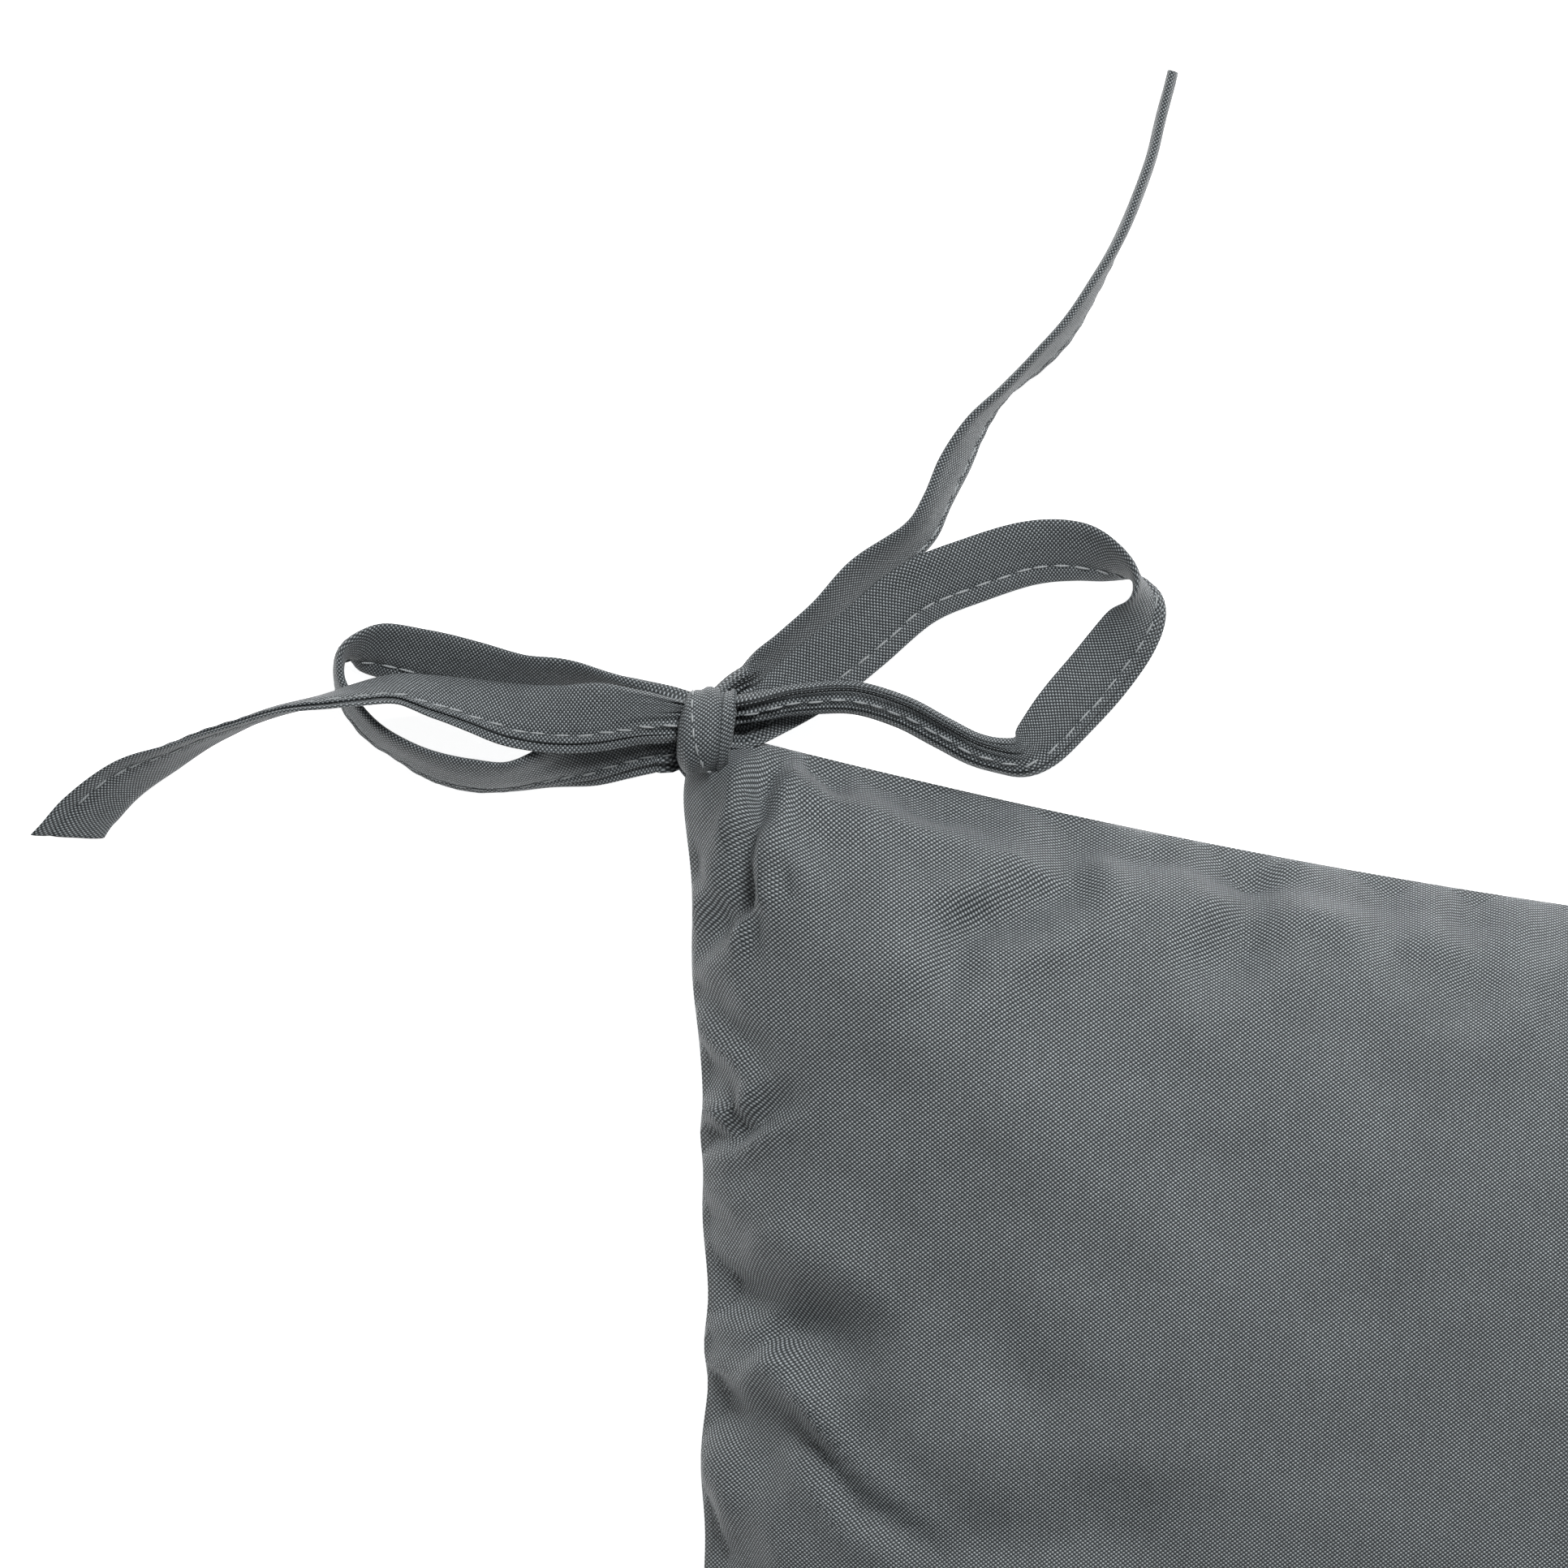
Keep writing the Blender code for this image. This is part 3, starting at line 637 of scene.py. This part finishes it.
cover = {
    "cells": 100,
    "easing": 1.25,             # how much finer the cells get towards the seam
    "pull": 20 * mm, "pullPower": 1.7,   # how far the sides come in at their middles, and how roundly
    "cornerCut": 7 * mm, "cornerReach": 18 * mm,
    "seamCorner": 5 * mm, "seamMiddle": 16 * mm,   # heights of the seam
    "topPower": 5.0, "topRounding": 0.72,
    "flatReach": 0.45, "basePower": 4.0, "baseRounding": 0.75,
    "fabric": 0.5 * mm,
    "smoothing": 5,
    "waveReach": 0.20,          # share of the way in from the seam that its waves take to fade
    "seed": 11, "puckers": 9,
    "undulation": ((28 * mm, 1.0 * mm), (9 * mm, 0.40 * mm), (4 * mm, 0.12 * mm)),   # size and height
    "foldDepth": 1.25,          # all folds are deeper or shallower by this
    "stray": 2.2 * mm, "strayLength": 11 * mm,   # how far a fold wanders off its line, and how slowly
    # The most that a fold goes in or stands out, as a share of its distance to the seam
    "deepest": 0.55, "highest": 0.4,
    # The simulation: how hard the filling pushes, how firmly the cloth keeps its place, how long it
    # runs and how far a point may go, then the cloth's own settings
    "pressure": 2.0, "hold": 0.10, "frames": 14, "reach": 5 * mm,
    "quality": 6, "mass": 0.15, "stretch": 25, "shear": 8, "bending": 0.3,
}

# Waves in the left side's outline: millimetres from the corner, millimetres out, and half width
sideWaves = (
    (12, 1.4, 9), (44, -1.1, 10), (73, -1.2, 3.5), (86, 0.9, 8), (109, -1.3, 4.5), (129, 1.7, 10),
    (152, 0.8, 10), (176, -0.9, 8),
)

# Folds in the top near the rear left corner: points to the right and rear of the corner in millimetres,
# then half width and depth
cornerFolds = (
    (((17, -5), (14.5, -9.7), (14.2, -16), (13.0, -20), (9.5, -25)), 2.2, 2.6),
    (((13, -22), (12.5, -29), (9, -36), (7, -41)), 2.2, 2.4),
    (((11, -26), (16, -34), (17, -43)), 1.8, 1.1),
    (((24, -16), (30, -27), (31, -40)), 4.0, 0.9),
    (((19.5, -24), (22.5, -30)), 1.5, 0.9),
    (((5, -20), (8, -30), (7, -44)), 2.2, 0.9),
    (((21, -3.5), (28, -8), (33, -15)), 2.4, 1.4),
    (((24, -5), (38, -8), (48, -11), (62, -13.5)), 3.4, 2.0),
    (((58, -13), (80, -15.8), (100, -18), (125, -20.4), (152, -22)), 3.4, 1.2),
    (((69, -14), (69.5, -23), (59, -29.5), (53, -35), (48.6, -45), (49.5, -54)), 4.4, 2.4),
    (((60, -30), (47, -31), (40, -37)), 3.0, 0.8),
    (((99.5, -12), (102.8, -24), (98, -34), (94, -44)), 5.0, 2.4),
    (((125, -14), (129, -28), (136, -38)), 4.2, 1.2),
    (((141, -16), (143, -28), (139, -44)), 4.5, 1.9),
    (((160, -18), (157, -34), (166, -48)), 6.0, 1.3),
    (((5, -44), (14, -52), (22, -62)), 2.2, 1.1),
    (((6, -56), (14, -63), (18, -74)), 2.0, 1.0),
    (((4, -67), (12, -64), (17, -69)), 1.4, 0.8),
    (((5, -76), (14, -71.5), (28, -62)), 2.0, 2.0),
    (((7, -84), (18, -88), (27, -84)), 2.6, 0.9),
    (((10, -94), (26, -103), (46, -109)), 6.0, 3.2),
    (((6, -109), (20, -108), (33, -102)), 2.4, 1.5),
    (((12, -113), (24, -121), (30, -133)), 5.0, 2.6),
    (((26, -117), (33, -123), (44, -134), (60, -142)), 2.4, 1.9),
    (((6, -128), (14, -136), (16, -148)), 3.0, 1.2),
    (((7, -141), (20, -146), (34, -158)), 4.5, 1.8),
    (((58, -98), (70, -112), (84, -116)), 8.0, 1.2),
    (((60, -138), (82, -134), (104, -140)), 8.0, 1.7),
    (((92, -60), (112, -76), (120, -98)), 9.0, 1.2),
)


def outlinePoint(u, v, half):
    c = cover
    x = u * (half[0] - c["pull"] * (1 - abs(v) ** c["pullPower"]) * abs(u) ** 2)
    y = v * (half[1] - c["pull"] * (1 - abs(u) ** c["pullPower"]) * abs(v) ** 2)
    near = half[0] - abs(x) + half[1] - abs(y)
    if near < c["cornerReach"]:
        shift = c["cornerCut"] * (1 - near / c["cornerReach"]) ** 2 / 2
        x -= math.copysign(shift, u)
        y -= math.copysign(shift, v)
    return x, y


def seamHeight(u, v):
    progress = min(abs(u), abs(v)) / max(abs(u), abs(v), 1e-9)
    return cover["seamCorner"] + (cover["seamMiddle"] - cover["seamCorner"]) * (1 - progress ** 2)


def topHeight(u, v):
    reach = max(abs(u), abs(v))
    edge = seamHeight(u, v) + cover["fabric"] / 2
    return edge + (padTop.z - edge) * (1 - reach ** cover["topPower"]) ** cover["topRounding"]


def baseHeight(u, v):
    c = cover
    out = max(0.0, (max(abs(u), abs(v)) - c["flatReach"]) / (1 - c["flatReach"]))
    return (seamHeight(u, v) - c["fabric"] / 2) * (1 - (1 - out ** c["basePower"]) ** c["baseRounding"])


def eased(k, cells):
    # Cells get finer towards the seam, where the surface turns down
    t = 2 * k / cells - 1
    return math.copysign(1 - (1 - abs(t)) ** cover["easing"], t)


def flatDistances(heightAt, half):
    # Length of cloth from the middle of the pad to each share of the way out
    shares = np.linspace(0, 1, 300)
    x = np.array([outlinePoint(t, 0, half)[0] for t in shares])
    z = np.array([heightAt(t, 0) for t in shares])
    return shares, np.concatenate([[0], np.cumsum(np.hypot(np.diff(x), np.diff(z)))])


def waveOut(along, waves):
    return sum(out * math.exp(-((along - place) / width) ** 2) for place, out, width in waves) * mm


def randomWaves(chance):
    # A wave about every 24 mm along a side
    return [(at + chance.uniform(-8, 8), chance.uniform(-1.3, 1.3), chance.uniform(4, 10))
            for at in range(20, 390, 24)]


def wavySides(chance):
    # Waves for each side, by millimetres from its rear or left end. The left side has its own waves for
    # its first 200 mm, and the rear side is straight for its first 170 mm.
    sides = {name: randomWaves(chance) for name in ("left", "right", "rear", "front")}
    sides["left"] = list(sideWaves) + [w for w in sides["left"] if w[0] > 200]
    sides["rear"] = [w for w in sides["rear"] if w[0] > 170]
    return sides


def nearSeam(share):
    # 1 at the seam, and 0 from a little way in
    return max(0.0, (abs(share) - 1) / cover["waveReach"] + 1) ** 2


def waveShift(x, y, u, v, half, sides):
    # The outline's waves fade away from the seam and towards the corners
    down, right = (half[1] - y) / mm, (x + half[0]) / mm
    tuck = 1 - min(abs(u), abs(v)) ** 8
    x += math.copysign(waveOut(down, sides["left" if u < 0 else "right"]) * nearSeam(u) * tuck, u)
    y += math.copysign(waveOut(right, sides["rear" if v > 0 else "front"]) * nearSeam(v) * tuck, v)
    return x, y


def foldDip(places, route, width, depth):
    # A groove along the route with a low lip on each side, fading at both ends
    best = np.full(len(places), 1e9)
    along = np.zeros(len(places))
    route = np.array(route, float) * mm
    lengths = np.linalg.norm(np.diff(route, axis=0), axis=1)
    before = 0.0
    for start, end, length in zip(route, route[1:], lengths):
        t = np.clip((places - start) @ (end - start) / length ** 2, 0, 1)
        away = np.linalg.norm(places - start - t[:, None] * (end - start), axis=1)
        nearer = away < best
        best[nearer] = away[nearer]
        along[nearer] = (before + t[nearer] * length) / lengths.sum()
        before += length
    away = best / (width * mm)
    fade = np.clip(np.minimum(along / 0.25 + 0.35, (1 - along) / 0.35), 0, 1)
    return -depth * mm * fade * (np.exp(-away ** 2) - 0.45 * np.exp(-((away - 2.0) / 0.8) ** 2))


def randomFolds(chance, whole):
    # Short folds that run in from the seam, where the stitching gathers it, on a pad that is whole
    # millimetres wide. The left and rear sides have folds of their own for their first 175 mm.
    folds = []
    for side, first, count in (("left", 175, 1), ("rear", 175, 1), ("right", 12, 2), ("front", 12, 2)):
        count *= cover["puckers"]
        for k in range(count):
            at = first + (whole - 12 - first) * (k + chance.uniform(0.2, 0.8)) / count
            deep, lean = chance.uniform(14, 42), chance.uniform(-0.7, 0.7)
            pull = cover["pull"] / mm * (1 - abs(2 * at / whole - 1) ** cover["pullPower"])
            run = [(pull + 1.5 + deep * t, at + deep * lean * t + 4 * t * t) for t in (0, 0.5, 1)]
            size = chance.uniform(2.0, 5.5)
            route = {"left": [(i, -a) for i, a in run], "right": [(whole - i, -a) for i, a in run],
                     "rear": [(a, -i) for i, a in run], "front": [(a, i - whole) for i, a in run]}[side]
            folds.append((route, size, 0.42 * size * chance.uniform(0.6, 1.2)))
    return folds


def mirroredCorner(folds, whole):
    # The rear right corner is pulled by its tie in the same way, with slightly wider and shallower folds
    return [([(whole - x, y) for x, y in route], width * 1.1, depth * 0.9)
            for route, width, depth in folds[:4]]


def panelPlaces(heightAt, half, sides):
    cells = cover["cells"]
    places = {}
    for column in range(cells + 1):
        for row in range(cells + 1):
            u, v = eased(column, cells), eased(row, cells)
            x, y = waveShift(*outlinePoint(u, v, half), u, v, half, sides)
            places[column, row] = Vector((x, y, heightAt(u, v)))
    return places


def pressFolds(mesh, folds, half):
    # Folds go in along the surface's own normals, never deeper than the seam beside them allows
    c = cover
    places = np.array([v.co for v in mesh.vertices])
    normals = np.array([v.normal for v in mesh.vertices])
    stray = np.array([noise.noise_vector(Vector(place) / c["strayLength"])[:2] for place in places])
    flat = places[:, :2] - np.array([-half[0], half[1]]) + stray * c["stray"]
    edge = meshEdge(mesh)
    tree = KDTree(len(edge))
    for index in edge:
        tree.insert(places[index], index)
    tree.balance()
    room = np.array([tree.find(place)[2] for place in places])
    dip = np.zeros(len(places))
    for route, width, depth in folds:
        dip += foldDip(flat, route, width, depth * c["foldDepth"])
    for size, lift in c["undulation"]:
        dip += lift * np.array([noise.noise(Vector(place) / size) for place in places])
    dip = np.clip(dip, -c["deepest"] * room, c["highest"] * room)
    places += normals * dip[:, None]
    mesh.vertices.foreach_set("co", places.astype(np.float32).ravel())
    mesh.update()


def meshEdge(mesh):
    # Vertices on the open edge of a sheet
    uses = {}
    for polygon in mesh.polygons:
        for key in polygon.edge_keys:
            uses[key] = uses.get(key, 0) + 1
    return {v for key, count in uses.items() if count == 1 for v in key}


def swell(panel):
    # The filling pushes the cloth out from inside, while the seam stays where it is
    c = cover
    mesh = panel.data
    start = np.zeros(len(mesh.vertices) * 3, np.float32)
    mesh.vertices.foreach_get("co", start)
    group = panel.vertex_groups.new(name="hold")
    seam = meshEdge(mesh)
    group.add(list(seam), 1.0, "REPLACE")
    group.add([v.index for v in mesh.vertices if v.index not in seam], c["hold"], "REPLACE")
    cloth = panel.modifiers.new("swell", "CLOTH")
    settings = cloth.settings
    settings.quality = c["quality"]
    settings.mass = c["mass"]
    settings.tension_stiffness = settings.compression_stiffness = c["stretch"]
    settings.shear_stiffness = c["shear"]
    settings.bending_stiffness = c["bending"]
    settings.vertex_group_mass = "hold"
    settings.use_pressure = True
    settings.uniform_pressure_force = c["pressure"]
    settings.effector_weights.gravity = 0
    cloth.collision_settings.use_collision = False
    for step in range(1, c["frames"] + 1):
        bpy.context.scene.frame_set(step)
    shaped = panel.evaluated_get(bpy.context.evaluated_depsgraph_get())
    end = np.zeros_like(start)
    shaped.data.vertices.foreach_get("co", end)
    panel.modifiers.remove(cloth)
    bpy.context.scene.frame_set(1)
    start, end = start.reshape(-1, 3), end.reshape(-1, 3)
    move = end - start
    far = np.linalg.norm(move, axis=1, keepdims=True)
    move *= np.minimum(1, c["reach"] / np.maximum(far, 1e-9))
    mesh.vertices.foreach_set("co", (start + move).ravel())
    mesh.update()
    print("swollen", panel.name, "mean move mm", round(float(far.mean()) / mm, 2))


def refine(panel):
    # Catmull-Clark once, kept in the mesh, with the corners of the seam left where they are
    finer = panel.modifiers.new("finer", "SUBSURF")
    finer.levels = finer.render_levels = 1
    finer.boundary_smooth = "PRESERVE_CORNERS"
    mesh = bpy.data.meshes.new_from_object(panel.evaluated_get(bpy.context.evaluated_depsgraph_get()))
    panel.modifiers.remove(finer)
    old = panel.data
    panel.data = mesh
    bpy.data.meshes.remove(old)


def addPanel(name, heightAt, half, sides, folds, replaced, cloth, up):
    # One side of the cover, open at the seam; up is 1 for the top and -1 for the underside
    cells = cover["cells"]
    places = panelPlaces(heightAt, half, sides)
    shares, distances = flatDistances(heightAt, half)
    flatLine = [math.copysign(np.interp(abs(t), shares, distances), t)
                for t in (eased(k, cells) for k in range(cells + 1))]
    bm = bmesh.new()
    layCloth(bm, cells, cells, lambda column, row: (flatLine[column], flatLine[row]),
             lambda column, row: places[column, row])
    if up < 0:
        bmesh.ops.reverse_faces(bm, faces=bm.faces)
    inner = [v for v in bm.verts if not v.is_boundary]
    for _ in range(cover["smoothing"]):
        bmesh.ops.smooth_vert(bm, verts=inner, factor=0.5, use_axis_z=True)
    panel = finishPiece(name, bm, cloth, turnOut=False)
    swell(panel)
    refine(panel)
    pressFolds(panel.data, folds, half)
    if up < 0:
        for vertex in panel.data.vertices:   # it stands on the table
            vertex.co.z = max(vertex.co.z, 0.0)
    thick = panel.modifiers.new("cloth", "SOLIDIFY")
    thick.thickness = cover["fabric"]
    thick.offset = -1
    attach(panel, "pad")
    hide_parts(replaced)
    return panel


wadding = {
    "cells": 72,
    "reach": 0.87,              # share of the way out to the seam
    "coverGap": 5.0 * mm,
    "foamGap": 0.5 * mm,
    "foamOverhang": 2 * mm,     # how far past the foam's edge the layers turn towards each other
    "split": 2 * mm,            # the two layers meet this far above the seam
    "skin": 0.3 * mm,           # each layer's distance to that height
    "thinnest": 1.0 * mm,       # over and under the foam
}


def addWadding(name, panel, half, sides, replaced, material, up):
    # A layer between the foam and the cover, which follows the cover's inside
    w = wadding
    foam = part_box("foam_core")
    inside = foam[1].z + w["foamGap"] if up > 0 else foam[0].z - w["foamGap"]
    slab = foam[1].x + w["foamOverhang"]
    tree = panelTree(panel)

    def sheetPoint(column, row, outer):
        u, v = (w["reach"] * (2 * k / w["cells"] - 1) for k in (column, row))
        x, y = waveShift(*outlinePoint(u, v, half), u, v, half, sides)
        split = seamHeight(u, v) + w["split"]
        beyond = max(abs(x), abs(y)) > slab
        if outer:
            hit = tree.ray_cast(Vector((x, y, up)), Vector((0, 0, -up)))[0]
            z = hit.z - up * w["coverGap"]
            limit = split + up * 2 * w["skin"] if beyond else inside + up * w["thinnest"]
            z = max(z, limit) if up > 0 else min(z, limit)
        else:
            z = split + up * w["skin"] if beyond else inside
        return Vector((x, y, z))

    bm = bmesh.new()
    for outer in (True, False):
        layCloth(bm, w["cells"], w["cells"], lambda c, r: (c * mm, r * mm),
                 lambda c, r, outer=outer: sheetPoint(c, r, outer))
    bmesh.ops.bridge_loops(bm, edges=[e for e in bm.edges if e.is_boundary])
    piece = finishPiece(name, bm, material)
    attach(piece, "pad")
    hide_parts(replaced)
    return piece


def panelTree(panel):
    mesh = panel.data
    return BVHTree.FromPolygons([v.co for v in mesh.vertices], [tuple(p.vertices) for p in mesh.polygons])


addCamera()
addLights()
addFloor()
print("camera, lights and table are set")

coverCloth = wovenCloth("plainWovenPolyesterCover", coverLook)
strapCloth = wovenCloth("plainWovenPolyesterStrap", strapLook)
sewingThread = threadPolyester()

# Each bow swings about a line through its swing point, which gives the pad's rear corners
corners = {}
for joint in frame["joints"]:
    side = 1 if joint["pos_m"][0] < 0 else -1
    away = Vector((side * swingPoint[0], swingPoint[1], swingPoint[2])) * mm
    corners[side] = Vector(joint["pos_m"]) - away
half = (corners[-1].x, corners[-1].y)
whole = round(2 * half[0] / mm)

for side, label in ((1, "rear_left"), (-1, "rear_right")):
    addBow(label, side, corners[side], strapCloth, sewingThread)

chance = random.Random(cover["seed"])
sides = wavySides(chance)
topFolds = list(cornerFolds) + mirroredCorner(cornerFolds, whole) + randomFolds(chance, whole)
baseFolds = randomFolds(chance, whole)
coverTop = addPanel("cover_top", topHeight, half, sides, topFolds, "top_panel", coverCloth, 1)
coverBase = addPanel("cover_bottom", baseHeight, half, sides, baseFolds, "bottom_panel", coverCloth, -1)
fibre = looseWadding()
addWadding("wadding_over_foam", coverTop, half, sides, "top_wadding", fibre, 1)
addWadding("wadding_under_foam", coverBase, half, sides, "bottom_wadding", fibre, -1)
print("covered and filled")

foamNode = frame["nodes"]["foam_core"]
foamNode.data.materials.clear()
foamNode.data.materials.append(cutFoam())

bpy.context.view_layer.update()
